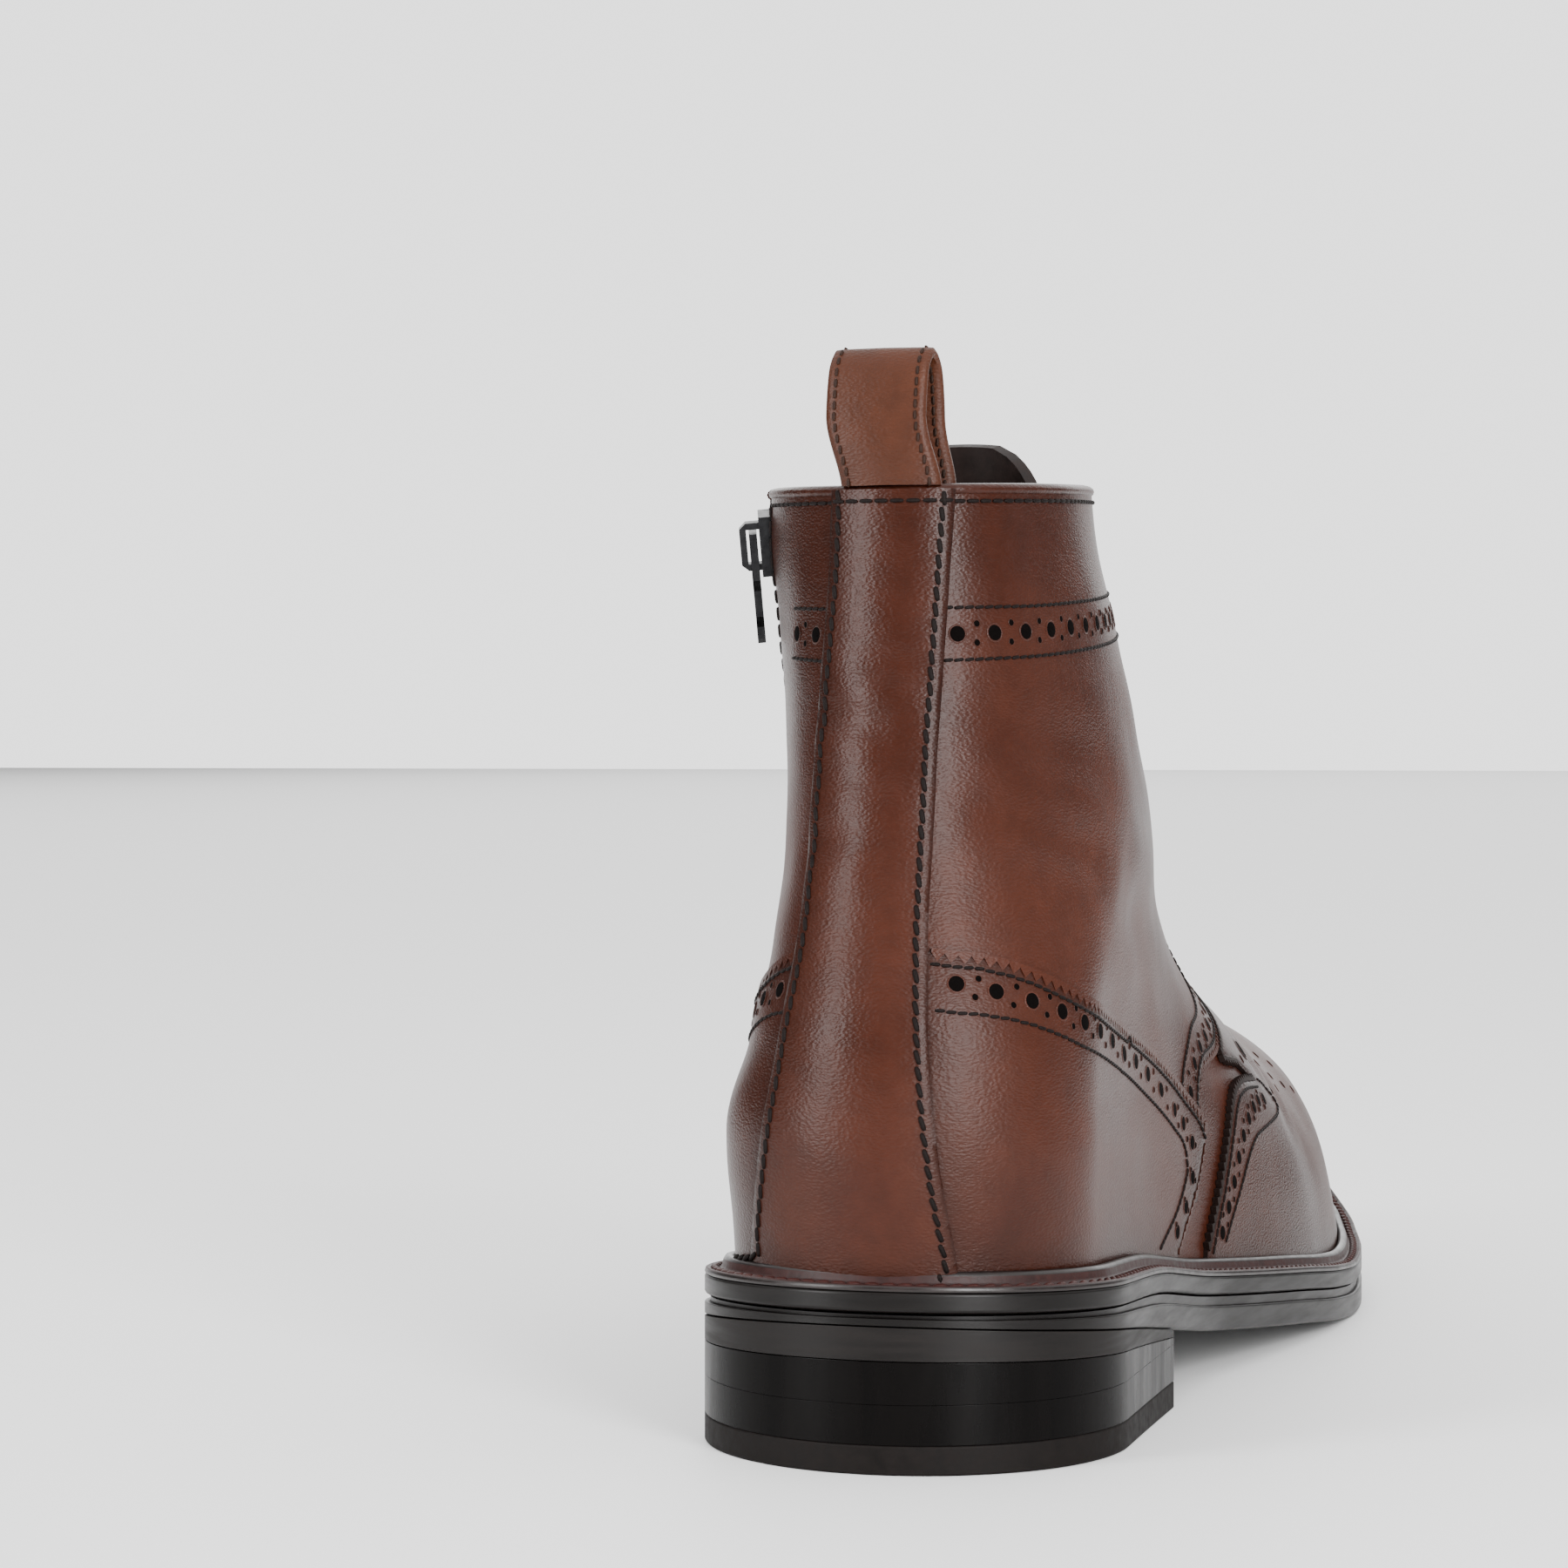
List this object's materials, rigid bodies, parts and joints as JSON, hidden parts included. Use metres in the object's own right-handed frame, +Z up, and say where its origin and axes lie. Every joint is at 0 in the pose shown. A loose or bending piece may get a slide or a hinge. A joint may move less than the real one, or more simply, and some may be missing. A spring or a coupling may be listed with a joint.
{
  "type": "brogue ankle boot",
  "caption": "Right leather ankle boot with brogue perforation, derby front, inner-side zip, pull loop, storm welt and stacked heel",
  "frame": {"origin": "on the floor, under the middle of the boot's bounding box", "axes": "+Y points to the toe, +X to the outer (lateral) side, +Z up"},
  "size_m": [0.1046, 0.305, 0.1713],
  "materials": {
    "upper_leather": "burnished, waxed, fine grain",
    "lining": "matt",
    "sole": "dyed and polished edge",
    "heel": "dyed and polished edge",
    "zip_metal": "black gunmetal",
    "zip_cloth": "woven tape",
    "lace_cord": "waxed round cord"
  },
  "bodies": {
    "boot": {"outsole": "sole", "midsole": "sole", "heel_top_piece": "heel", "heel_lift_lower": "heel", "heel_lift_upper": "heel", "heel_seat_lift": "heel", "welt": "sole", "insole": "lining", "upper": "upper_leather", "tongue": "upper_leather", "back_strap": "upper_leather", "pull_loop": "upper_leather", "counter_outer": "upper_leather", "counter_inner": "upper_leather", "facing_outer": "upper_leather", "facing_inner": "upper_leather", "wing_tip": "upper_leather", "zip_tape": "zip_cloth", "zip_teeth": "zip_metal", "zip_slider": "zip_metal", "lace": "lace_cord"},
    "pull_tab": {"zip_pull": "zip_metal"}
  },
  "joints": [
    {"name": "zip_pull_hinge", "type": "hinge", "parent": "boot", "child": "pull_tab", "pos_m": [-0.02903, -0.10384, 0.14479], "axis": [-0.2754, 0.9252, 0.2612], "range_deg": [0, 140]}
  ]
}
